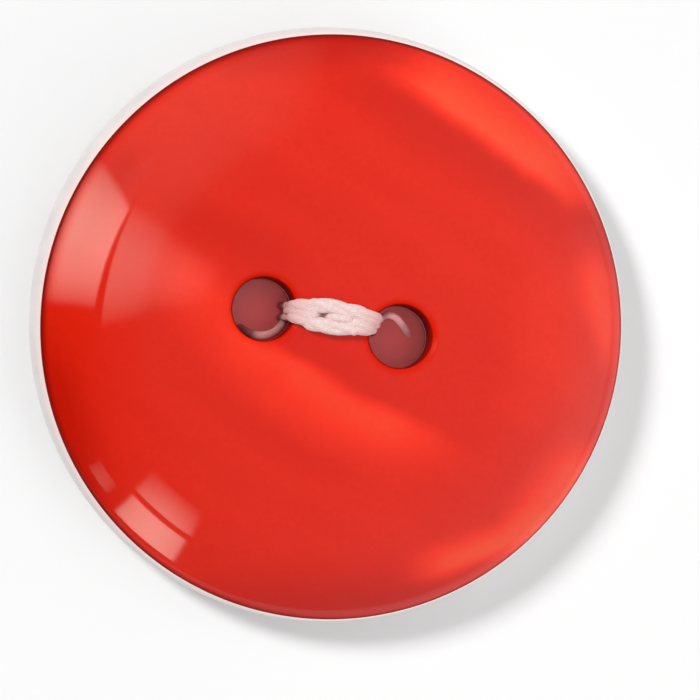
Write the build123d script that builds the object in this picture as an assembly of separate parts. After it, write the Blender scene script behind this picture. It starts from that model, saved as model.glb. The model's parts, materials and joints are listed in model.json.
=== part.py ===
from build123d import *
import math
import os

# Two-hole sewing button with a domed face, turned from sheet cast in two coloured layers.
# The button rests on Z = 0 with its face up, and the line of its holes lies along X.

# Outline of the turned button, with slopes in degrees from the level
button_diameter = 20.0
lower_edge_radius = 0.9
upper_edge_radius = 1.2
shoulder_slope = 40.0
crown_reach = 6.1
crown_slope = 6.0

# Line between the white and the red layer, which runs a little out of level
layer_height = 1.5
layer_tilt = 1.7
layer_heading = 156.0

# Recess turned in the back, which keeps the thread off the surface below
recess_diameter = 14.4
recess_slope = 20.0
floor_gap = 0.2

# Sewing holes, with rounded rims in front and chamfered ones at the back
hole_diameter = 2.1
hole_spacing = 4.65
hole_rim = 0.22
cut_overrun = 1.0

# Thread, wound twice through both holes
thread_diameter = 0.42
thread_sides = 10
thread_clearance = 0.025
strand_gap = 0.08
tail_end_x = 2.0
tail_end_y = 1.3

# Thread places worked out from the holes and the room in the recess
thread_radius = thread_diameter / 2
hole_radius = hole_diameter / 2
strand_side = (thread_diameter + strand_gap) / 2
leg_offset = hole_radius - thread_radius - thread_clearance
leg_reach = hole_spacing / 2 - math.sqrt(leg_offset**2 - strand_side**2)
back_height = floor_gap + thread_radius
bend_radius = hole_rim + thread_clearance + thread_radius

# Recess worked out from the thread that lies in it
recess_depth = back_height + thread_radius + thread_clearance
recess_radius = recess_diameter / 2
recess_floor_radius = recess_radius - recess_depth / math.tan(math.radians(recess_slope))

# Outline worked out from its arcs, each of which starts where the last one ends
sin_shoulder = math.sin(math.radians(shoulder_slope))
cos_shoulder = math.cos(math.radians(shoulder_slope))
sin_crown = math.sin(math.radians(crown_slope))
cos_crown = math.cos(math.radians(crown_slope))
button_radius = button_diameter / 2
resting_radius = button_radius - lower_edge_radius
shoulder_reach = button_radius - upper_edge_radius * (1 - sin_shoulder)
shoulder_foot = lower_edge_radius + upper_edge_radius * cos_shoulder
shoulder_radius = (shoulder_reach - crown_reach) / (sin_shoulder - sin_crown)
crown_foot = shoulder_foot + shoulder_radius * (cos_crown - cos_shoulder)
crown_top = crown_foot + crown_reach * math.tan(math.radians(crown_slope) / 2)
front_height = crown_top + thread_clearance + thread_radius


def turned_outline():
    """Half section of the button, as a lathe would follow it, on the side away from the holes."""
    crown = TangentArc((0, crown_top), (crown_reach, crown_foot), tangent=(1, 0))
    shoulder = TangentArc(crown @ 1, (shoulder_reach, shoulder_foot), tangent=crown % 1)
    upper_edge = TangentArc(shoulder @ 1, (button_radius, lower_edge_radius), tangent=shoulder % 1)
    lower_edge = TangentArc(upper_edge @ 1, (resting_radius, 0), tangent=upper_edge % 1)
    back = Polyline(
        lower_edge @ 1,
        (recess_radius, 0),
        (recess_floor_radius, recess_depth),
        (0, recess_depth),
        (0, crown_top),
    )
    return Plane.YZ * make_face([crown, shoulder, upper_edge, lower_edge, back])


def hole_rims(button, end):
    """The edge at one end of each hole's wall: end 0 is at the back and end -1 in front."""
    walls = button.faces().filter_by(GeomType.CYLINDER)
    return [wall.edges().sort_by(Axis.Z)[end] for wall in walls]


def drilled_button():
    """The whole turned button with both holes drilled and their rims eased."""
    button = revolve(turned_outline(), Axis.Z)
    drill_height = crown_top + 2 * cut_overrun
    drill = Cylinder(hole_radius, drill_height, align=(Align.CENTER, Align.CENTER, Align.MIN))
    for side in (-1, 1):
        button -= Pos(side * hole_spacing / 2, 0, -cut_overrun) * drill
    button = chamfer(hole_rims(button, 0), hole_rim)
    return fillet(hole_rims(button, -1), hole_rim)


def layer_plane():
    """Plane between the two layers: it rises by the tilt towards the heading."""
    heading = math.radians(layer_heading)
    tilt = math.radians(layer_tilt)
    lean = math.sin(tilt)
    upward = Vector(-lean * math.cos(heading), -lean * math.sin(heading), math.cos(tilt))
    return Plane(origin=(0, 0, layer_height), z_dir=upward)


def thread_route():
    """Two turns through the holes, with a tail in the recess at each end."""
    near = -strand_side
    far = strand_side
    points = [
        (tail_end_x, -tail_end_y, back_height),
        (-leg_reach, near, back_height),
        (-leg_reach, near, front_height),
        (leg_reach, near, front_height),
        (leg_reach, near, back_height),
        (-leg_reach, far, back_height),
        (-leg_reach, far, front_height),
        (leg_reach, far, front_height),
        (leg_reach, far, back_height),
        (-tail_end_x, tail_end_y, back_height),
    ]
    return FilletPolyline(*points, radius=bend_radius)


def sewing_thread():
    """Thread of one thickness along its whole route, with enough sides to look round."""
    route = thread_route()
    section = Plane(origin=route @ 0, z_dir=route % 0) * RegularPolygon(thread_radius, thread_sides)
    return sweep(section, path=route)


button = drilled_button()
parts = {
    "face_layer": split(button, bisect_by=layer_plane(), keep=Keep.TOP),
    "backing_layer": split(button, bisect_by=layer_plane(), keep=Keep.BOTTOM),
    "sewing_thread": sewing_thread(),
}

os.makedirs("parts", exist_ok=True)
for name, shape in parts.items():
    export_step(shape, f"parts/{name}.step")
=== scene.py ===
import json
import math

import bmesh
import bpy
from mathutils import Matrix, Vector


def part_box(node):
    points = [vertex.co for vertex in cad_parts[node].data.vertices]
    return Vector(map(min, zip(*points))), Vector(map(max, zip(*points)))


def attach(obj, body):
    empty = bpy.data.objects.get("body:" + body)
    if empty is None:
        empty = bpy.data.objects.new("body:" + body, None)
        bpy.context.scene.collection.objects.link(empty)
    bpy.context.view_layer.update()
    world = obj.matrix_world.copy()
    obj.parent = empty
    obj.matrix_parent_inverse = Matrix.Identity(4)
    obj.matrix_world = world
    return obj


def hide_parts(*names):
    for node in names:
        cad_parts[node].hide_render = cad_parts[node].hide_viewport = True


# Two-hole sewing button: a red pearl dome on a white backing, sewn through twice with white thread.
# Lengths are millimetres and angles degrees, unless a name or comment says otherwise.

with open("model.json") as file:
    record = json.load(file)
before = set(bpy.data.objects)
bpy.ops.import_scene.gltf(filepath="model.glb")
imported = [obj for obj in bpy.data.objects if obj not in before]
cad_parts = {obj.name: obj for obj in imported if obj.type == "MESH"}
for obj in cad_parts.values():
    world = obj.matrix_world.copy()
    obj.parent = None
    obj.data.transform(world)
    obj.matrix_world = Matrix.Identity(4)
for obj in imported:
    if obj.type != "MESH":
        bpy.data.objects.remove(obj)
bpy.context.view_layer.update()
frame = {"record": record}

MM = 0.001

# Sizes that the frame gives
mounts = {mount["name"]: mount for mount in frame["record"]["mounts"]}
hole_dims = mounts["sewing_holes"]["dims"]
hole_radius = hole_dims["hole_r_mm"]
hole_reach = hole_dims["spacing_x_mm"] / 2
button_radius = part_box("backing_layer")[1].x / MM

# Outline of the turned button, with slopes from the level
lower_edge_radius = 0.9
upper_edge_radius = 1.2
shoulder_slope = 40.0
crown_reach = 6.1
crown_slope = 6.0
recess_radius = 7.2
recess_floor_radius = 5.428
recess_depth = 0.645
ring_edge_round = 0.12
hole_rim = 0.22

# Line between the white and the red layer, which rises towards its heading
layer_height = 1.5
layer_tilt = 1.7
layer_heading = 156.0

# Thread, wound twice through both holes and pressed flat on the face. The pair of strands lies off the
# line of the holes by an offset at each side, and its legs slant away from the wall as they go down.
strand_half_width = 0.26
strand_half_height = 0.2
strand_side = 0.25
leg_side = 0.19
pair_offset = {-1: 0.113, 1: 0.241}
leg_slant = {-1: 0.2, 1: 0.25}
tail_end_x = 2.0
tail_end_y = 1.3

# Gap between the thread and the button, and the place on a leg's section that comes nearest to the wall
thread_play = 0.006
wall_touch = 30.0

# Reach of a bend to each side of its corner, and the places on the face where the strands bow apart
bend_hold = 0.8
face_hold = 1.0
slit_place = -0.36
slit_bow = 0.11

# Plies that the thread is twisted from, and the fibres, which turn the other way and show as ridges
ply_count = 3
ply_radius = 0.16
ply_turn_length = 2.95
fibre_turn_length = -1.3
fibre_ridges = 11
fibre_ridge_share = 0.06
fibre_sides = 33

# Share of its thickness that the thread keeps where it is drawn tight in the holes and at the back
leg_share = 0.55
back_share = 0.9
tight_top = 0.35
tight_foot = 0.8

# Ply that fills the groove between the strands, as places along the pair: x, height above the strands'
# middle. It dips where a slit shows.
filling_radius = 0.14
filling_places = (
    (-1.5, -0.95),
    (-1.48, -0.3),
    (-1.22, 0.02),
    (-0.8, 0.06),
    (-0.68, 0.05),
    (-0.52, -0.33),
    (-0.22, -0.33),
    (-0.06, 0.05),
    (0.2, 0.06),
    (0.48, 0.04),
    (0.62, -0.16),
    (0.76, 0.04),
    (1.22, 0.02),
    (1.48, -0.3),
    (1.5, -0.95),
)

# Loose ply that stands off the strands inside each hole: radius, then places about the hole's middle
loose_plies = {
    -1: (
        0.14,
        (
            (0.85, -0.25, 1.5),
            (0.72, -0.54, 2.0),
            (0.37, -0.82, 2.35),
            (-0.08, -0.90, 2.3),
            (-0.42, -0.79, 1.7),
            (-0.52, -0.70, 1.0),
        ),
    ),
    1: (
        0.11,
        (
            (-0.75, 0.40, 2.8),
            (-0.62, 0.64, 3.1),
            (-0.28, 0.64, 3.1),
            (0.1, 0.38, 2.95),
            (0.36, 0.14, 2.5),
        ),
    ),
}

# Mesh fineness. Inside the inner ring, the mesh of the crown runs to the rims of the holes.
turns = 256
crown_steps = 6
shoulder_steps = 24
edge_steps = 12
rim_steps = 6
ring_edge_steps = 4
inner_ring = 4.2
spoke_cuts = 10
hole_sides = 3 * turns // 4
route_step = 0.06
route_order = 3
route_resolution = 32
sharp_angle = 38.0
weld_distance = 1e-5
seam_tolerance = 1e-4
ring_tolerance = 0.01

# Where the photograph puts the button, in its own pixels
image_size = 700
pixels_per_mm = 29.72
outline_centre = (326.0, 324.3)
view_turn = 11.3

# Camera
camera_lean = 4.8
camera_heading = 203.3
camera_distance = 300.0
sensor_width = 36.0
nearest_seen = 10.0
farthest_seen = 100000.0


def tilted(slope, heading):
    """Unit vector that leans from the vertical by slope, towards a heading in the button's frame."""
    lean = math.sin(math.radians(slope))
    around = math.radians(heading)
    return Vector((lean * math.cos(around), lean * math.sin(around), math.cos(math.radians(slope))))


# Plane between the layers, in metres. Its normal leans away from the heading that the plane rises to.
layer_point = Vector((0, 0, layer_height * MM))
layer_normal = tilted(layer_tilt, layer_heading + 180)

# Outline worked out from its arcs, each of which starts where the last one ends
sin_shoulder = math.sin(math.radians(shoulder_slope))
cos_shoulder = math.cos(math.radians(shoulder_slope))
sin_crown = math.sin(math.radians(crown_slope))
cos_crown = math.cos(math.radians(crown_slope))
shoulder_reach = button_radius - upper_edge_radius * (1 - sin_shoulder)
shoulder_foot = lower_edge_radius + upper_edge_radius * cos_shoulder
shoulder_radius = (shoulder_reach - crown_reach) / (sin_shoulder - sin_crown)
crown_foot = shoulder_foot + shoulder_radius * (cos_crown - cos_shoulder)
crown_radius = crown_reach / sin_crown
crown_centre = crown_foot - crown_radius * cos_crown
resting_radius = button_radius - lower_edge_radius

# Heights of the thread's middle on the face and at the back
front_height = crown_centre + crown_radius + strand_half_height + thread_play
back_height = recess_depth - strand_half_height - thread_play


def link(made):
    """Puts an object in the scene."""
    bpy.context.scene.collection.objects.link(made)
    return made


def place_camera():
    """Camera nearly overhead, far off with a long lens, framed as in the photograph."""
    image_right = tilted(90, view_turn)
    image_up = tilted(90, view_turn + 90)
    back = tilted(camera_lean, camera_heading)
    right = image_up.cross(back).normalized()
    up = back.cross(right)
    across = (image_size / 2 - outline_centre[0]) / pixels_per_mm
    down = (image_size / 2 - outline_centre[1]) / pixels_per_mm
    aim = Vector((0, 0, lower_edge_radius)) + across * image_right - down * image_up
    data = bpy.data.cameras.new("camera")
    data.sensor_width = sensor_width
    data.lens = sensor_width * camera_distance * pixels_per_mm / image_size
    data.clip_start = nearest_seen * MM
    data.clip_end = farthest_seen * MM
    camera = link(bpy.data.objects.new("camera", data))
    turn = Matrix((right, up, back)).transposed().to_4x4()
    camera.matrix_world = Matrix.Translation((aim + camera_distance * back) * MM) @ turn
    bpy.context.scene.camera = camera


# Button


def only_verts(items):
    """The vertices among what a mesh operator gives back."""
    return [item for item in items if isinstance(item, bmesh.types.BMVert)]


def only_edges(items):
    """The edges among what a mesh operator gives back."""
    return [item for item in items if isinstance(item, bmesh.types.BMEdge)]


def edges_between(edges, verts):
    """The edges that have both ends among some vertices."""
    chosen = set(verts)
    return [edge for edge in edges if all(vert in chosen for vert in edge.verts)]


def spin_round(bm, steps):
    """Turns a drawn outline once round the upright axis."""
    bmesh.ops.spin(
        bm,
        geom=bm.verts[:] + bm.edges[:],
        cent=(0, 0, 0),
        axis=(0, 0, 1),
        angle=math.tau,
        steps=steps,
        use_merge=True,
    )


def finished_mesh(bm, name):
    """Mesh of a worked shape, which is then let go."""
    mesh = bpy.data.meshes.new(name)
    bm.to_mesh(mesh)
    bm.free()
    return mesh


def link_piece(name, mesh, material, node):
    """Puts a finished mesh in the scene as a piece of the button."""
    piece = link(bpy.data.objects.new(name, mesh))
    mesh.materials.clear()
    mesh.materials.append(material)
    mesh.shade_smooth()
    mesh.set_sharp_from_angle(angle=math.radians(sharp_angle))
    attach(piece, "root")
    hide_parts(node)
    return piece


def crown_height(radius):
    """Height of the crown at a distance from the button's axis."""
    return crown_centre + math.sqrt(crown_radius**2 - radius**2)


def turn_arc(bm, tip, radius, height, sweep, steps):
    """Carries the tip of the outline round an arc whose centre is at a radius and a height."""
    made = bmesh.ops.spin(
        bm,
        geom=[tip],
        cent=(0, radius, height),
        axis=(-1, 0, 0),
        angle=math.radians(sweep),
        steps=steps,
    )
    return only_verts(made["geom_last"])[0]


def turned_shell(bm):
    """Outside of the button as a lathe cuts it, from the inner ring on the crown to the recess floor."""
    tip = bm.verts.new((0, inner_ring, crown_height(inner_ring)))
    inner_slope = math.degrees(math.asin(inner_ring / crown_radius))
    tip = turn_arc(bm, tip, 0, crown_centre, crown_slope - inner_slope, crown_steps)
    shoulder_mid = crown_reach - shoulder_radius * sin_crown
    shoulder_low = crown_foot - shoulder_radius * cos_crown
    tip = turn_arc(bm, tip, shoulder_mid, shoulder_low, shoulder_slope - crown_slope, shoulder_steps)
    upper_mid = button_radius - upper_edge_radius
    tip = turn_arc(bm, tip, upper_mid, lower_edge_radius, 90 - shoulder_slope, edge_steps)
    tip = turn_arc(bm, tip, resting_radius, lower_edge_radius, 90, edge_steps)
    for radius, height in ((recess_radius, 0), (recess_floor_radius, recess_depth)):
        last = tip
        tip = bm.verts.new((0, radius, height))
        bm.edges.new((last, tip))
    spin_round(bm, turns)


def ring_edges(bm, radius, height):
    """Edges of a level ring about the button's axis."""

    def on_ring(vert):
        near_radius = abs(vert.co.xy.length - radius) < ring_tolerance
        return near_radius and abs(vert.co.z - height) < ring_tolerance

    return [edge for edge in bm.edges if all(on_ring(vert) for vert in edge.verts)]


def ease_resting_ring(bm):
    """Rounds the inner edge of the resting ring a little."""
    bmesh.ops.bevel(
        bm,
        geom=ring_edges(bm, recess_radius, 0),
        offset=ring_edge_round,
        offset_type="OFFSET",
        affect="EDGES",
        segments=ring_edge_steps,
        profile=0.5,
        material=-1,
    )


def extrude_ring(bm, edges, centre, scale, drop):
    """Extrudes a hole's ring, then scales it about the hole and lowers it. Returns the new ring."""
    made = bmesh.ops.extrude_edge_only(bm, edges=edges)["geom"]
    verts = only_verts(made)
    ring = edges_between(only_edges(made), verts)
    bmesh.ops.scale(bm, vec=(scale, scale, 1), space=Matrix.Translation(-centre), verts=verts)
    bmesh.ops.translate(bm, vec=(0, 0, -drop), verts=verts)
    return ring


def level_ring(bm, edges, height):
    """Brings a ring to one height."""
    verts = list({vert for edge in edges for vert in edge.verts})
    bmesh.ops.scale(bm, vec=(1, 1, 0), verts=verts)
    bmesh.ops.translate(bm, vec=(0, 0, height), verts=verts)


def drill_hole(bm, rim, side):
    """Rounded front rim, wall and chamfered back rim of one hole. Returns the ring in the recess."""
    centre = Vector((side * hole_reach, 0, 0))
    radius = hole_radius + hole_rim
    drop = 0
    for step in range(1, rim_steps + 1):
        swing = math.radians(90 * step / rim_steps)
        new_radius = hole_radius + hole_rim * (1 - math.sin(swing))
        new_drop = hole_rim * (1 - math.cos(swing))
        rim = extrude_ring(bm, rim, centre, new_radius / radius, new_drop - drop)
        radius = new_radius
        drop = new_drop
    for height in (layer_height, recess_depth + hole_rim):
        rim = extrude_ring(bm, rim, centre, 1, 0)
        level_ring(bm, rim, height)
    return extrude_ring(bm, rim, centre, (hole_radius + hole_rim) / hole_radius, hole_rim)


def pierced_crown(bm):
    """Middle of the crown, in two halves that run from the inner ring to the holes, which are drilled.

    Returns the rings of the holes in the recess.
    """
    inner = ring_edges(bm, inner_ring, crown_height(inner_ring))
    on_seam = [vert for edge in inner for vert in edge.verts if abs(vert.co.x) < seam_tolerance]
    middle = bm.edges.new(list(dict.fromkeys(on_seam)))
    cut = bmesh.ops.subdivide_edges(bm, edges=[middle], cuts=hole_sides - turns // 2 - 1)
    middle = list(dict.fromkeys(only_edges(cut["geom_inner"] + cut["geom_split"])))
    rims = []
    for side in (-1, 1):
        half = [edge for edge in inner if side * (edge.verts[0].co.x + edge.verts[1].co.x) > 0]
        place = Matrix.Translation((side * hole_reach, 0, crown_height(hole_reach)))
        circle = bmesh.ops.create_circle(
            bm, segments=hole_sides, radius=hole_radius + hole_rim, matrix=place
        )["verts"]
        rim = edges_between(bm.edges, circle)
        bridged = bmesh.ops.bridge_loops(bm, edges=half + middle + rim)
        fixed = set(half + middle + rim)
        spokes = [edge for edge in bridged["edges"] if edge not in fixed]
        bmesh.ops.subdivide_edges(bm, edges=spokes, cuts=spoke_cuts, use_grid_fill=True)
        rims.append((rim, side))
    for vert in bm.verts:
        reach = vert.co.xy.length
        if reach < inner_ring and vert.co.z > crown_foot:
            vert.co.z = crown_height(reach)
    return [drill_hole(bm, rim, side) for rim, side in rims]


def whole_button():
    """Closed mesh of the whole turned and drilled button, in millimetres."""
    bm = bmesh.new()
    turned_shell(bm)
    ease_resting_ring(bm)
    back_rings = pierced_crown(bm)
    floor_edges = ring_edges(bm, recess_floor_radius, recess_depth)
    floor_edges += [edge for ring in back_rings for edge in ring]
    bmesh.ops.triangle_fill(bm, edges=floor_edges, use_beauty=True)
    bmesh.ops.remove_doubles(bm, verts=bm.verts[:], dist=weld_distance)
    bmesh.ops.recalc_face_normals(bm, faces=bm.faces[:])
    return bm


def cut_layer(button, name, upper):
    """The layer above or below the layer line, closed along the cut."""
    bm = button.copy()
    cut = bmesh.ops.bisect_plane(
        bm,
        geom=bm.verts[:] + bm.edges[:] + bm.faces[:],
        dist=weld_distance,
        plane_co=layer_point / MM,
        plane_no=layer_normal,
        clear_inner=upper,
        clear_outer=not upper,
    )
    bmesh.ops.triangle_fill(bm, edges=only_edges(cut["geom_cut"]), use_beauty=True)
    bmesh.ops.recalc_face_normals(bm, faces=bm.faces[:])
    bmesh.ops.scale(bm, vec=(MM, MM, MM), verts=bm.verts[:])
    return finished_mesh(bm, name)


# Thread


def leg_top(side, across):
    """Corner where a strand goes down into a hole, against the wall nearest the button's middle."""
    touch = math.radians(wall_touch)
    touch_across = abs(across) + leg_share * strand_half_width * math.sin(touch)
    wall = math.sqrt(hole_radius**2 - touch_across**2)
    offset = wall - leg_share * strand_half_height * math.cos(touch) - thread_play
    return Vector((side * (hole_reach - offset), across, front_height))


def leg_foot(side, across):
    """Corner at the back, where a strand comes out of a hole."""
    return Vector((leg_top(side, across).x + side * leg_slant[side], across, back_height))


def pair_middle(x):
    """Middle of the pair of strands on the face, which runs a little askew."""
    lean = (pair_offset[1] - pair_offset[-1]) / (leg_top(1, 0).x - leg_top(-1, 0).x)
    return (pair_offset[1] + pair_offset[-1]) / 2 + lean * x


def face_points(lie):
    """Points that lead one strand across the face, bowed away from the other at the slit."""
    sides = ((-face_hold, strand_side), (slit_place, strand_side + slit_bow), (face_hold, strand_side))
    return [Vector((x, pair_middle(x) + lie * side, front_height)) for x, side in sides]


def route_points():
    """Control points of two turns through the holes, with a hold on each side of a corner for its bend."""
    corners = [Vector((tail_end_x, -tail_end_y, back_height))]
    bows = {}
    for lie in (-1, 1):
        left = pair_offset[-1] + lie * leg_side
        right = pair_offset[1] + lie * leg_side
        corners += [leg_foot(-1, left), leg_top(-1, left)]
        bows[len(corners)] = face_points(lie)
        corners += [leg_top(1, right), leg_foot(1, right)]
    corners.append(Vector((-tail_end_x, tail_end_y, back_height)))
    points = [corners[0]]
    for index in range(1, len(corners) - 1):
        corner = corners[index]
        points += bows.get(index, [])
        points.append(corner + bend_hold * (corners[index - 1] - corner).normalized())
        points.append(corner)
        points.append(corner + bend_hold * (corners[index + 1] - corner).normalized())
    points.append(corners[-1])
    return points


def curve_object(name, points, kind, cyclic=False, tilts=None, shares=None):
    """Curve through or along points that are given in millimetres."""
    data = bpy.data.curves.new(name, "CURVE")
    data.dimensions = "3D"
    spline = data.splines.new(kind)
    spline.points.add(len(points) - 1)
    for index, point in enumerate(points):
        spline.points[index].co = (*(Vector(point) * MM), 1)
        if tilts:
            spline.points[index].tilt = tilts[index]
        if shares:
            spline.points[index].radius = shares[index]
    spline.use_cyclic_u = cyclic
    if kind == "NURBS":
        spline.order_u = route_order
        spline.use_endpoint_u = True
        data.resolution_u = route_resolution
    return link(bpy.data.objects.new(name, data))


def mesh_of(made):
    """Mesh of a curve as it is now."""
    bpy.context.view_layer.update()
    graph = bpy.context.evaluated_depsgraph_get()
    return bpy.data.meshes.new_from_object(made.evaluated_get(graph), depsgraph=graph)


def drop_curve(made):
    """Removes a curve that was only a help."""
    data = made.data
    bpy.data.objects.remove(made)
    bpy.data.curves.remove(data)


def followed(points):
    """Evenly spaced points along a smooth curve near the given ones, with the distance run at each."""
    route = curve_object("route", points, "NURBS")
    mesh = mesh_of(route)
    passed = [vert.co / MM for vert in mesh.vertices]
    drop_curve(route)
    bpy.data.meshes.remove(mesh)
    even = [passed[0]]
    for point in passed[1:]:
        while (point - even[-1]).length > route_step:
            even.append(even[-1] + route_step * (point - even[-1]).normalized())
    run = [index * route_step for index in range(len(even))]
    return even, run


def strand_frame(points, index):
    """Directions out of the loop and across it, at a point of the thread."""
    after = points[min(index + 1, len(points) - 1)]
    before = points[max(index - 1, 0)]
    along = (after - before).normalized()
    outward = along.cross(Vector((0, 1, 0))).normalized()
    return outward, along.cross(outward)


def thickness_share(height):
    """Share of its thickness that the thread has at a height: full on the face, least in the holes."""
    stops = (
        (back_height, back_share),
        (back_height + tight_foot, leg_share),
        (front_height - tight_top, leg_share),
        (front_height, 1.0),
    )
    for (low, low_share), (high, high_share) in zip(stops, stops[1:]):
        if height < high:
            rise = max(height - low, 0) / (high - low)
            return low_share + rise * (high_share - low_share)
    return 1.0


def strand_width(height):
    """Half the width of a strand, which is round at the back and pressed flat on the face."""
    share = (height - back_height) / (front_height - back_height)
    return strand_half_height + share * (strand_half_width - strand_half_height)


def ply_route(points, run, ply):
    """Middle of one ply, which winds about the others in the strand."""
    route = []
    for index, (point, distance) in enumerate(zip(points, run)):
        outward, across = strand_frame(points, index)
        swing = math.tau * (distance / ply_turn_length + ply / ply_count)
        share = thickness_share(point.z)
        lift = share * (strand_half_height - ply_radius) * math.cos(swing)
        shift = share * (strand_width(point.z) - ply_radius) * math.sin(swing)
        route.append(point + lift * outward + shift * across)
    return route


def filling_route():
    """Middle of the ply between the strands."""
    return [Vector((x, pair_middle(x), front_height + rise)) for x, rise in filling_places]


def add_ply(bm, points, run, radius, shares=None):
    """Adds a ply of twisted fibres, which show as ridges along it."""
    section_points = []
    for index in range(fibre_sides):
        swing = math.tau * index / fibre_sides
        ridge = radius * (1 + fibre_ridge_share * math.cos(fibre_ridges * swing))
        section_points.append((ridge * math.cos(swing), ridge * math.sin(swing), 0))
    section = curve_object("fibre_section", section_points, "POLY", cyclic=True)
    tilts = [math.tau * distance / fibre_turn_length for distance in run]
    strand = curve_object("ply", points, "POLY", tilts=tilts, shares=shares)
    strand.data.bevel_mode = "OBJECT"
    strand.data.bevel_object = section
    strand.data.use_fill_caps = True
    mesh = mesh_of(strand)
    bm.from_mesh(mesh)
    drop_curve(strand)
    drop_curve(section)
    bpy.data.meshes.remove(mesh)


def plied_thread():
    """Thread of twisted plies, with one between its strands and a loose one in each hole."""
    bm = bmesh.new()
    points, run = followed(route_points())
    shares = [thickness_share(point.z) for point in points]
    for ply in range(ply_count):
        add_ply(bm, ply_route(points, run, ply), run, ply_radius, shares)
    points, run = followed(filling_route())
    add_ply(bm, points, run, filling_radius)
    for side, (radius, places) in loose_plies.items():
        points, run = followed([Vector(place) + Vector((side * hole_reach, 0, 0)) for place in places])
        add_ply(bm, points, run, radius)
    bmesh.ops.recalc_face_normals(bm, faces=bm.faces[:])
    return finished_mesh(bm, "thread_plies")


# Materials


def add_node(tree, kind, inputs=None, **settings):
    """Adds a shader node with its settings, and fills or links its inputs by name or number."""
    made = tree.nodes.new(kind)
    for name, value in settings.items():
        setattr(made, name, value)
    for key, value in (inputs or {}).items():
        if isinstance(value, bpy.types.NodeSocket):
            tree.links.new(value, made.inputs[key])
        else:
            made.inputs[key].default_value = value
    return made


def calc(tree, operation, *values):
    """Result of a sum on plain values or sockets."""
    return add_node(tree, "ShaderNodeMath", dict(enumerate(values)), operation=operation).outputs[0]


def vector_calc(tree, operation, *values):
    """Outputs of a sum on vectors."""
    return add_node(tree, "ShaderNodeVectorMath", dict(enumerate(values)), operation=operation).outputs


def multiply_add(tree, value, factor, extra):
    """Value times factor plus extra."""
    return calc(tree, "MULTIPLY_ADD", value, factor, extra)


def faded(tree, value, start, end, first=1.0, last=0.0, kind="SMOOTHSTEP"):
    """Goes from the first level to the last as a value runs from start to end."""
    limits = {"Value": value, "From Min": start, "From Max": end, "To Min": first, "To Max": last}
    return add_node(tree, "ShaderNodeMapRange", limits, interpolation_type=kind).outputs[0]


def noise(tree, vector, pattern):
    """Outputs of a noise, whose pattern is its scale and its detail."""
    scale, detail = pattern
    inputs = {"Vector": vector, "Scale": scale, "Detail": detail}
    return add_node(tree, "ShaderNodeTexNoise", inputs).outputs


def blend(tree, share, first, second):
    """Mixes two colours, each given as a socket or as a plain colour."""
    return add_node(tree, "ShaderNodeMix", {0: share, 6: first, 7: second}, data_type="RGBA").outputs[2]


def colour_ramp(tree, value, stops):
    """Colours along a ramp, given as places with their shades."""
    made = add_node(tree, "ShaderNodeValToRGB", {"Fac": value})
    elements = made.color_ramp.elements
    elements.remove(elements[1])
    for index, (place, shade) in enumerate(stops):
        stop = elements[0] if index == 0 else elements.new(place)
        stop.position = place
        stop.color = (*shade, 1)
    return made.outputs["Color"]


def plain_material(name):
    """New material with its node tree, its shader and the object coordinates."""
    material = bpy.data.materials.new(name)
    material.use_nodes = True
    tree = material.node_tree
    coords = add_node(tree, "ShaderNodeTexCoord").outputs["Object"]
    return material, tree, tree.nodes["Principled BSDF"], coords


def set_plain(shader, values):
    """Sets what is the same all over a surface on the shader's own sockets."""
    for name, value in values.items():
        shader.inputs[name].default_value = value


def roughen(tree, shader, height, strength, depth):
    """Gives the surface fine relief from a height between 0 and 1."""
    relief = {"Height": height, "Strength": strength, "Distance": depth * MM}
    bump = add_node(tree, "ShaderNodeBump", relief)
    tree.links.new(bump.outputs[0], shader.inputs["Normal"])


def new_group(name, inputs, outputs):
    """Empty shader node group with its sockets. Returns the group and the sockets inside it."""
    group = bpy.data.node_groups.new(name, "ShaderNodeTree")
    for label, kind in inputs:
        group.interface.new_socket(label, in_out="INPUT", socket_type=kind)
    for label, kind in outputs:
        group.interface.new_socket(label, in_out="OUTPUT", socket_type=kind)
    entry = group.nodes.new("NodeGroupInput")
    leaving = group.nodes.new("NodeGroupOutput")
    return group, entry.outputs, leaving.inputs


mask_output = [("Mask", "NodeSocketFloat")]
reach_inputs = [("Vector", "NodeSocketVector"), ("Reach", "NodeSocketFloat")]
streak_inputs = [
    ("Vector", "NodeSocketVector"),
    ("Place", "NodeSocketVector"),
    ("Turn", "NodeSocketVector"),
    ("Half Size", "NodeSocketVector"),
    ("Crest", "NodeSocketFloat"),
]
wear_outputs = [("Dulling", "NodeSocketFloat"), ("Height", "NodeSocketFloat")]

# Share of the reach round a hole over which its mask stays full, and the place along half a streak
# where its end starts to fade
wall_mask_full = 0.4
streak_end_start = 0.3

# Marks of wear: noise scale and detail of the patches and of the grain, and the levels between which a
# patch dulls the gloss
wear_patches = (450.0, 4.0)
wear_grain = (5200.0, 3.0)
wear_patch_low = 0.45
wear_patch_high = 0.7


def layer_line_group():
    """Mask that is 1 on the line between the layers and fades out over a reach in metres."""
    group, given, result = new_group("layer_line", reach_inputs, mask_output)
    offset = vector_calc(group, "SUBTRACT", given["Vector"], layer_point)[0]
    height = vector_calc(group, "DOT_PRODUCT", offset, layer_normal)["Value"]
    away = calc(group, "ABSOLUTE", height)
    group.links.new(faded(group, away, 0.0, given["Reach"]), result["Mask"])
    return group


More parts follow.
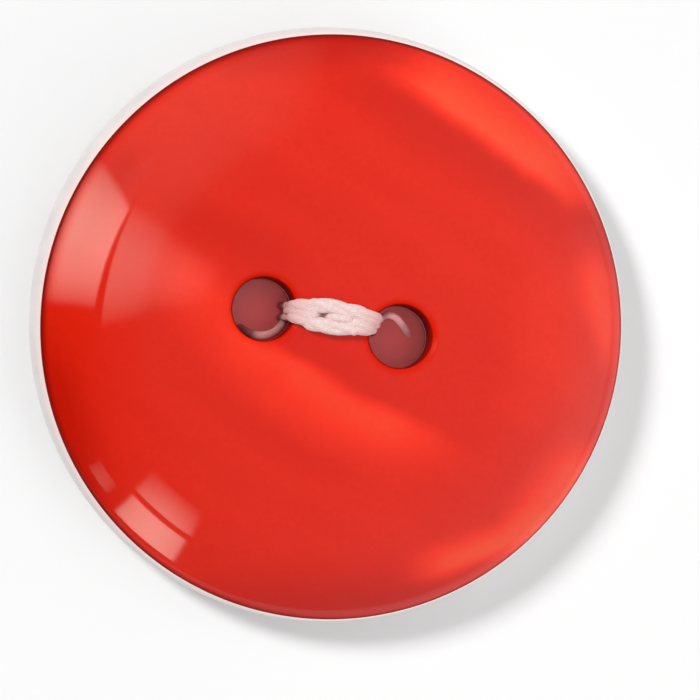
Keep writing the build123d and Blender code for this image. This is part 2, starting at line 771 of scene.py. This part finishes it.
def drilled_wall_group():
    """Mask that is 1 on the walls of both holes and fades out by a reach in metres round them."""
    group, given, result = new_group("drilled_wall", reach_inputs, mask_output)
    folded = vector_calc(group, "ABSOLUTE", given["Vector"])[0]
    offset = vector_calc(group, "SUBTRACT", folded, (hole_reach * MM, 0, 0))[0]
    flat = vector_calc(group, "MULTIPLY", offset, (1, 1, 0))[0]
    away = vector_calc(group, "LENGTH", flat)["Value"]
    start = multiply_add(group, given["Reach"], wall_mask_full, hole_radius * MM)
    end = calc(group, "ADD", given["Reach"], hole_radius * MM)
    group.links.new(faded(group, away, start, end, kind="LINEAR"), result["Mask"])
    return group


def pearl_streak_group():
    """Mask of one soft streak: its place, turn and half sizes, and where its crest lies across it."""
    group, given, result = new_group("pearl_streak", streak_inputs, mask_output)
    local = add_node(
        group,
        "ShaderNodeMapping",
        {
            "Vector": given["Vector"],
            "Location": given["Place"],
            "Rotation": given["Turn"],
            "Scale": given["Half Size"],
        },
        vector_type="TEXTURE",
    )
    split = add_node(group, "ShaderNodeSeparateXYZ", {0: local.outputs[0]}).outputs
    ends = faded(group, calc(group, "ABSOLUTE", split["X"]), streak_end_start, 1.0)
    below = faded(group, split["Y"], -1.0, given["Crest"], 0.0, 1.0)
    above = faded(group, split["Y"], given["Crest"], 1.0)
    sides = calc(group, "MULTIPLY", below, above)
    group.links.new(calc(group, "MULTIPLY", ends, sides), result["Mask"])
    return group


def surface_wear_group():
    """Marks of tumbling and handling: patches that dull the gloss, and fine relief."""
    group, given, result = new_group("surface_wear", [("Vector", "NodeSocketVector")], wear_outputs)
    patches = noise(group, given["Vector"], wear_patches)["Fac"]
    dulling = faded(group, patches, wear_patch_low, wear_patch_high, 0.0, 1.0, "LINEAR")
    grain = noise(group, given["Vector"], wear_grain)["Fac"]
    group.links.new(dulling, result["Dulling"])
    group.links.new(grain, result["Height"])
    return group


def reach_mask(tree, group, coords, reach):
    """Mask of a node group, faded out over a reach."""
    inputs = {"Vector": coords, "Reach": reach * MM}
    return add_node(tree, "ShaderNodeGroup", inputs, node_tree=group).outputs["Mask"]


def worn_surface(tree, shader, coords, surface_wear, roughness, worn_roughness, relief):
    """Roughness and relief with marks of wear. Returns the dulling."""
    wear = add_node(tree, "ShaderNodeGroup", {"Vector": coords}, node_tree=surface_wear).outputs
    dulled = multiply_add(tree, wear["Dulling"], worn_roughness, roughness)
    tree.links.new(dulled, shader.inputs["Roughness"])
    roughen(tree, shader, wear["Height"], *relief)
    return wear["Dulling"]


# Streaks in the pearl, some of which are painted shade towards the left, top and bottom rims and by the
# left window's reflection, and painted sheen and painted light on the right and upper right: middle in the
# photograph's pixels, turn, half length, half width, crest, strength.
# The crest runs from -1 at the lower side to 1 at the upper side, and a side next to it is sharp.
pearl_streaks = {
    # Painted sheen along the upper right rim
    "upper_right_painted_sheen": (502, 118, -34, 160, 48, -0.5, 0.45),
    "upper_right_dark": (450, 168, -33, 210, 36, 0.5, -0.1),
    "far_right_dark": (600, 236, -50, 56, 26, 0.2, -0.17),
    # Painted light over the upper right of the face
    "upper_painted_light": (400, 190, -34, 300, 120, 0.0, 0.06),
    "start_light": (204, 314, -43, 95, 48, 0.3, 0.24),
    "middle_light": (324, 419, -27, 150, 46, 0.58, 0.34),
    "upper_middle_dark": (228, 238, -30, 115, 38, 0.0, -0.09),
    "above_middle_dark": (300, 345, -33, 150, 36, -0.4, -0.08),
    "below_middle_dark": (235, 420, -30, 160, 24, 0.0, -0.03),
    # The next four streaks are painted sheen and painted light along the right side
    "lower_right_painted_sheen": (552, 486, 50, 78, 40, -0.3, 0.42),
    "low_rim_painted_sheen": (474, 546, 20, 95, 28, -0.3, 0.45),
    "right_painted_sheen": (600, 308, 100, 80, 28, 0.0, 0.27),
    "right_painted_light": (545, 350, 85, 110, 70, 0.0, 0.1),
    # The next four streaks are painted shade: by the left window's reflection and towards the bottom, left
    # and top rims
    "window_painted_shade": (92, 205, 60, 90, 40, 0.0, -0.15),
    "bottom_painted_shade": (300, 612, 3, 260, 60, 0.0, -0.24),
    "left_painted_shade": (55, 430, 108, 180, 56, 0.0, -0.3),
    "top_painted_shade": (310, 44, 4, 160, 40, 0.0, -0.28),
}

# Shades from the darkest to the lightest pearl, and the level before the streaks
pearl_shades = (
    (0.0, (0.38, 0.005, 0.001)),
    (0.25, (0.58, 0.009, 0.002)),
    (0.5, (0.745, 0.0155, 0.004)),
    (0.75, (0.97, 0.030, 0.009)),
    (1.0, (1.0, 0.080, 0.028)),
)
pearl_start = 0.4

# Drift that bends the streaks, flow lines along them and fine mottle, with noise scales and details
pearl_drift = 0.9
drift_noise = (0.3, 2.0)
noise_middle = (0.5, 0.5, 0.5)
flow_turn = -35.0
flow_length = 9.0
flow_width = 1.3
flow_noise = (1.0, 3.0)
flow_share = 0.12
mottle_noise = (5.0, 3.0)
mottle_share = 0.09

# Painted shade along the layer line and on the walls of the holes
edge_painted_shade = (0.2, 0.004, 0.002, 1)
edge_line_reach = 0.24
drilled_painted_shade = (0.33, 0.005, 0.003, 1)
drilled_reach = 0.06

# Gloss, which is lost along the layer line and round the holes. Relief is strength and depth.
pearl_roughness = 0.32
pearl_worn_roughness = 0.1
pearl_relief = (0.08, 0.02)
edge_dulling_reach = 0.42
rim_dulling_reach = 0.3
coat_lost_at_edges = 0.9
coat_lost_by_wear = 0.06
pearl_finish = {"Specular IOR Level": 0.0, "Coat Roughness": 0.06, "Coat IOR": 1.45}


def pearl_level(tree, coords, pearl_streak):
    """Lightness of the pearl, from its streaks, some of them painted shade and painted sheen, the flow
    lines along them and a fine mottle.
    """
    to_view = {
        "Vector": coords,
        "Rotation": (0, 0, math.radians(-view_turn)),
        "Scale": (1 / MM, 1 / MM, 1 / MM),
    }
    seen = add_node(tree, "ShaderNodeMapping", to_view).outputs[0]
    centred = vector_calc(tree, "SUBTRACT", noise(tree, seen, drift_noise)["Color"], noise_middle)[0]
    warped = vector_calc(tree, "MULTIPLY_ADD", centred, (pearl_drift, pearl_drift, 0), seen)[0]
    level = pearl_start
    for x, y, turn, half_length, half_width, crest, strength in pearl_streaks.values():
        inputs = {
            "Vector": warped,
            "Place": ((x - outline_centre[0]) / pixels_per_mm, (outline_centre[1] - y) / pixels_per_mm, 0),
            "Turn": (0, 0, math.radians(turn)),
            "Half Size": (half_length / pixels_per_mm, half_width / pixels_per_mm, 1),
            "Crest": crest,
        }
        streak = add_node(tree, "ShaderNodeGroup", inputs, node_tree=pearl_streak)
        level = multiply_add(tree, streak.outputs["Mask"], strength, level)
    along_flow = {
        "Vector": warped,
        "Rotation": (0, 0, math.radians(flow_turn)),
        "Scale": (flow_length, flow_width, 1),
    }
    flow = add_node(tree, "ShaderNodeMapping", along_flow, vector_type="TEXTURE").outputs[0]
    level = multiply_add(tree, noise(tree, flow, flow_noise)["Fac"], flow_share, level)
    return multiply_add(tree, noise(tree, seen, mottle_noise)["Fac"], mottle_share, level)


def red_pearl(layer_line, drilled_wall, pearl_streak, surface_wear):
    """Polished red pearl: soft light and dark streaks under a clear gloss, among them painted shade and
    painted sheen, with painted shade along the layer line and on the walls of the holes.
    """
    material, tree, shader, coords = plain_material("red_pearl")
    pearl = colour_ramp(tree, pearl_level(tree, coords, pearl_streak), pearl_shades)
    # Painted shade along the layer line and on the walls of the holes
    line = reach_mask(tree, layer_line, coords, edge_line_reach)
    drilled = reach_mask(tree, drilled_wall, coords, drilled_reach)
    edged = blend(tree, line, pearl, edge_painted_shade)
    tree.links.new(blend(tree, drilled, edged, drilled_painted_shade), shader.inputs["Base Color"])
    dulling = worn_surface(
        tree, shader, coords, surface_wear, pearl_roughness, pearl_worn_roughness, pearl_relief
    )
    edge = reach_mask(tree, layer_line, coords, edge_dulling_reach)
    rim = reach_mask(tree, drilled_wall, coords, rim_dulling_reach)
    worn = multiply_add(tree, dulling, -coat_lost_by_wear, 1.0)
    coat = multiply_add(tree, calc(tree, "MAXIMUM", edge, rim), -coat_lost_at_edges, worn)
    tree.links.new(coat, shader.inputs["Coat Weight"])
    set_plain(shader, pearl_finish)
    return material


# White backing: cloudy white, painted pink bounce light next to the red, and painted red bounce light and
# shade in the holes
backing_clouds = (900.0, 3.0)
backing_shades = ((0.3, (0.70, 0.65, 0.645)), (0.7, (0.78, 0.725, 0.72)))
backing_painted_bounce = (0.82, 0.68, 0.65, 1)
backing_bounce_reach = 0.3
backing_hole_painted_shade = (0.4, 0.06, 0.06, 1)
backing_hole_reach = 0.24

# Painted glow on the backing next to the red, standing in for light through it, least at the heading that
# the lamps light most
painted_edge_glow = (0.3, 0.2, 0.18, 1)
painted_glow_heading = 152.0
painted_glow_least = 0.15
no_glow = (0, 0, 0, 1)

backing_roughness = 0.28
backing_worn_roughness = 0.2
backing_relief = (0.15, 0.02)
backing_finish = {"Specular IOR Level": 0.25, "Emission Strength": 1.0}


def white_backing(layer_line, drilled_wall, surface_wear):
    """Satin white backing with painted red bounce light and shade in its holes, and painted pink bounce
    light and a painted glow next to the red.
    """
    material, tree, shader, coords = plain_material("white_backing")
    shade = colour_ramp(tree, noise(tree, coords, backing_clouds)["Fac"], backing_shades)
    # Painted pink bounce light next to the red, and painted red bounce light and shade in the holes
    line = reach_mask(tree, layer_line, coords, backing_bounce_reach)
    drilled = reach_mask(tree, drilled_wall, coords, backing_hole_reach)
    tinged = blend(tree, line, shade, backing_painted_bounce)
    tree.links.new(blend(tree, drilled, tinged, backing_hole_painted_shade), shader.inputs["Base Color"])
    # Painted glow next to the red, weakest towards the heading that the lamps light most
    sunward = vector_calc(tree, "DOT_PRODUCT", coords, tilted(90, painted_glow_heading))["Value"]
    reach = button_radius * MM
    shaded = faded(tree, sunward, -reach, reach, 1.0, painted_glow_least, "LINEAR")
    glow = blend(tree, calc(tree, "MULTIPLY", line, shaded), no_glow, painted_edge_glow)
    tree.links.new(glow, shader.inputs["Emission Color"])
    worn_surface(
        tree, shader, coords, surface_wear, backing_roughness, backing_worn_roughness, backing_relief
    )
    set_plain(shader, backing_finish)
    return material


# Cotton: shades from fibre to fibre, and painted pink bounce light and shade from the red button inside
# the holes, by height, and towards the ends of the strands, by distance from the button's middle. The back
# has none.
cotton_clouds = (6000.0, 2.0)
cotton_shades = ((0.3, (0.84, 0.62, 0.59)), (0.7, (0.95, 0.74, 0.71)))
cotton_painted_bounce = (0.74, 0.34, 0.335, 1)
cotton_bounce_full = 3.2
cotton_bounce_top = 3.75
cotton_end_start = 0.65
cotton_end_full = 1.7
cotton_end_share = 0.8
cotton_back_top = 0.6
cotton_back_fade = 1.2
cotton_fluff = (16000.0, 2.0)
cotton_roughness = 0.8
cotton_fluff_roughness = 0.2
cotton_relief = (0.5, 0.015)
cotton_finish = {"Sheen Weight": 0.3}


def white_thread():
    """Cream-white cotton with changes of shade and height from fibre to fibre, and painted pink bounce
    light and shade inside the holes and towards the ends of the strands.
    """
    material, tree, shader, coords = plain_material("white_thread")
    shade = colour_ramp(tree, noise(tree, coords, cotton_clouds)["Fac"], cotton_shades)
    # Painted pink bounce light and shade inside the holes and towards the strand ends, none over the back
    place = add_node(tree, "ShaderNodeSeparateXYZ", {0: coords}).outputs
    away = calc(tree, "ABSOLUTE", place["X"])
    ends = faded(tree, away, cotton_end_start * MM, cotton_end_full * MM, 0.0, cotton_end_share, "LINEAR")
    inside = faded(tree, place["Z"], cotton_bounce_full * MM, cotton_bounce_top * MM)
    over_back = faded(tree, place["Z"], cotton_back_top * MM, cotton_back_fade * MM, 0.0, 1.0)
    pink = calc(tree, "MULTIPLY", calc(tree, "MAXIMUM", inside, ends), over_back)
    tree.links.new(blend(tree, pink, shade, cotton_painted_bounce), shader.inputs["Base Color"])
    fluff = noise(tree, coords, cotton_fluff)["Fac"]
    roughness = multiply_add(tree, fluff, cotton_fluff_roughness, cotton_roughness)
    tree.links.new(roughness, shader.inputs["Roughness"])
    roughen(tree, shader, fluff, *cotton_relief)
    set_plain(shader, cotton_finish)
    return material


# Stage and light

floor_reach = 1500.0
floor_drop = 0.01
floor_lip = 120.0
floor_turns = 64
floor_weld = 0.001
floor_finish = {"Base Color": (0.97, 0.97, 0.97, 1), "Roughness": 1.0, "Specular IOR Level": 0.0}


def studio_floor():
    """White floor, turned up a little far away."""
    bm = bmesh.new()
    start = bm.verts.new((0, 0, -floor_drop * MM))
    end = bm.verts.new((floor_reach * MM, 0, -floor_drop * MM))
    lip = bm.verts.new(((floor_reach + floor_lip) * MM, 0, floor_lip * MM))
    bm.edges.new((start, end))
    bm.edges.new((end, lip))
    spin_round(bm, floor_turns)
    bmesh.ops.remove_doubles(bm, verts=bm.verts[:], dist=floor_weld * MM)
    bmesh.ops.recalc_face_normals(bm, faces=bm.faces[:])
    mesh = finished_mesh(bm, "studio_floor")
    floor = link(bpy.data.objects.new("studio_floor", mesh))
    material = bpy.data.materials.new("matt_white_floor")
    material.use_nodes = True
    set_plain(material.node_tree.nodes["Principled BSDF"], floor_finish)
    mesh.materials.append(material)


def facing(outward):
    """Turn of a lamp that stands in a direction and shines back from it."""
    return outward.to_track_quat("Z", "Y").to_matrix().to_4x4()


def hang_lamp(data, matrix, lit, mirrored):
    """Hangs a lamp that the camera doesn't see. It lights surfaces, or is only mirrored in their gloss."""
    lamp = bpy.data.objects.new(data.name, data)
    lamp.matrix_world = matrix
    lamp.visible_camera = False
    lamp.visible_diffuse = lit
    lamp.visible_glossy = mirrored
    link(lamp)


# Upright window panes and pale walls as seen from the button: heading in the picture from and to,
# elevation from and to, lean of the pane towards its start, brightness, the shares of it that are left
# at the pane's ends and at its top, and the shares of the pane cut away at the top of its start and at
# the end of its top
window_panes = {
    "left_window_low": (140, 175, 12, 50.5, 0, 6.6, 0.08, 1.0, 0.15, 0.08),
    "left_window_high": (143, 180, 52.5, 85.2, 2.6, 2.9, 0.0, 0.0, 0.0, 0.0),
    "front_window_low": (223, 240.3, 12, 30.7, 0, 6.8, 0.6, 1.0, 0.0, 0.0),
    "front_window_high": (222.5, 241, 34, 52, 0, 4.6, 0.4, 0.0, 0.0, 0.0),
    "front_window_side": (212, 219.5, 17, 26, 0, 1.6, 0.3, 0.6, 0.0, 0.0),
    "upper_left_wall": (84, 165, 2, 80, 0, 0.9, 0.0, 0.0, 0.0, 0.0),
    "right_wall": (-36, 22, 3, 42, 0, 0.5, 0.5, 0.0, 0.0, 0.0),
}
pane_softness = 0.05
window_tint = (1.0, 0.99, 0.84)
window_distance = 200.0


def pane_glow(data, end_share, top_share, start_cut, top_cut):
    """Lets a pane's light fall off towards its ends and its top, with soft edges and slanted ones."""
    data.use_nodes = True
    tree = data.node_tree
    place = add_node(tree, "ShaderNodeNewGeometry").outputs["Parametric"]
    split = add_node(tree, "ShaderNodeSeparateXYZ", {0: place}).outputs
    along = split["X"]
    upward = split["Y"]
    swing = multiply_add(tree, along, 2.0, -1.0)
    glow = multiply_add(tree, calc(tree, "MULTIPLY", swing, swing), end_share - 1, 1.0)
    rise = 1 / pane_softness
    from_start = multiply_add(tree, along, rise, 0.0)
    from_top = multiply_add(tree, upward, -rise, rise)
    shares = (
        multiply_add(tree, upward, top_share - 1, 1.0),
        multiply_add(tree, upward, -start_cut * rise, from_start),
        multiply_add(tree, along, -rise, rise),
        multiply_add(tree, along, -top_cut * rise, from_top),
    )
    for share in shares:
        kept = add_node(tree, "ShaderNodeClamp", {"Value": share}).outputs[0]
        glow = calc(tree, "MULTIPLY", glow, kept)
    tree.links.new(glow, tree.nodes["Emission"].inputs["Strength"])


def window_light():
    """Window panes and pale walls, which the gloss of the button mirrors."""
    for name, (start, end, low, high, lean, brightness, *shares) in window_panes.items():
        outward = tilted(90, (start + end) / 2 + view_turn)
        bottom = window_distance * math.tan(math.radians(low))
        top = window_distance * math.tan(math.radians(high))
        data = bpy.data.lights.new(name, "AREA")
        data.shape = "RECTANGLE"
        data.color = window_tint
        data.size = 2 * window_distance * MM * math.tan(math.radians(end - start) / 2)
        data.size_y = (top - bottom) * MM
        data.energy = brightness * math.pi * data.size * data.size_y
        pane_glow(data, *shares)
        turn = facing(outward) @ Matrix.Rotation(math.radians(lean), 4, "Z")
        foot = outward * window_distance + Vector((0, 0, bottom))
        place = foot + turn @ Vector((0, (top - bottom) / 2, 0))
        hang_lamp(data, Matrix.Translation(place * MM) @ turn, lit=False, mirrored=True)


# Large soft lamps, too diffuse to be mirrored: heading in the picture, elevation, light on the floor
soft_lamps = {
    "soft_box_back_right": (45, 42, 0.044),
    "soft_box_back_left": (135, 42, 0.063),
    "soft_box_front_left": (225, 42, 0.044),
    "soft_box_front_right": (315, 42, 0.04),
    "low_fill": (318, 18, 0.052),
}
soft_lamp_size = 260.0
soft_lamp_distance = 350.0


def soft_boxes():
    """Large soft lamps round the button."""
    for name, (heading, elevation, level) in soft_lamps.items():
        outward = tilted(90 - elevation, heading + view_turn)
        reach = soft_lamp_distance * MM
        data = bpy.data.lights.new(name, "AREA")
        data.shape = "DISK"
        data.size = soft_lamp_size * MM
        data.energy = level * math.pi**2 * reach**2 / outward.z
        hang_lamp(data, Matrix.Translation(outward * reach) @ facing(outward), lit=True, mirrored=False)


hole_light_tint = (1.0, 0.06, 0.065)
hole_light_brightness = 0.57
hole_light_height = 0.9
hole_light_share = 0.9


def hole_lights():
    """Red light that the face lets through into its holes, on the floor below them."""
    radius = hole_light_share * hole_radius * MM
    for side in (-1, 1):
        data = bpy.data.lights.new("hole_light", "AREA")
        data.shape = "DISK"
        data.size = 2 * radius
        data.color = hole_light_tint
        data.energy = hole_light_brightness * math.pi * math.pi * radius**2
        place = Vector((side * hole_reach, 0, hole_light_height)) * MM
        hang_lamp(data, Matrix.Translation(place), lit=True, mirrored=False)


sun_strength = 1.86
sun_slope = 48.5
sun_heading = 141.0
sun_spread = 15.0


def soft_sun():
    """Broad soft light from the upper left, which gives the shadow at the lower right."""
    data = bpy.data.lights.new("soft_sun", "SUN")
    data.energy = sun_strength
    data.angle = math.radians(sun_spread)
    sun = link(bpy.data.objects.new("soft_sun", data))
    direction = tilted(sun_slope, sun_heading + view_turn)
    sun.rotation_euler = direction.to_track_quat("Z", "Y").to_euler()
    sun.visible_glossy = False


room_tint = (1, 1, 1, 1)
room_level = 0.4
room_least = 0.02
room_swing = 0.5
room_heading = -15.0


def room_light():
    """Pale light from all round, stronger from the lower right than from the left."""
    world = bpy.data.worlds.new("room")
    world.use_nodes = True
    tree = world.node_tree
    direction = add_node(tree, "ShaderNodeTexCoord").outputs["Generated"]
    brightest = tilted(90, room_heading + view_turn)
    along = vector_calc(tree, "DOT_PRODUCT", direction, brightest)["Value"]
    level = multiply_add(tree, along, room_swing, room_level)
    background = tree.nodes["Background"]
    background.inputs["Color"].default_value = room_tint
    tree.links.new(calc(tree, "MAXIMUM", level, room_least), background.inputs["Strength"])
    bpy.context.scene.world = world


# The whole scene

bpy.context.scene.view_settings.view_transform = "Standard"
place_camera()

layer_line = layer_line_group()
drilled_wall = drilled_wall_group()
surface_wear = surface_wear_group()
pearl = red_pearl(layer_line, drilled_wall, pearl_streak_group(), surface_wear)
backing = white_backing(layer_line, drilled_wall, surface_wear)
cotton = white_thread()

link_piece("thread_plies", plied_thread(), cotton, "sewing_thread")
button = whole_button()
link_piece("red_face", cut_layer(button, "red_face", True), pearl, "face_layer")
link_piece("white_back", cut_layer(button, "white_back", False), backing, "backing_layer")
button.free()

studio_floor()
window_light()
soft_boxes()
hole_lights()
soft_sun()
room_light()
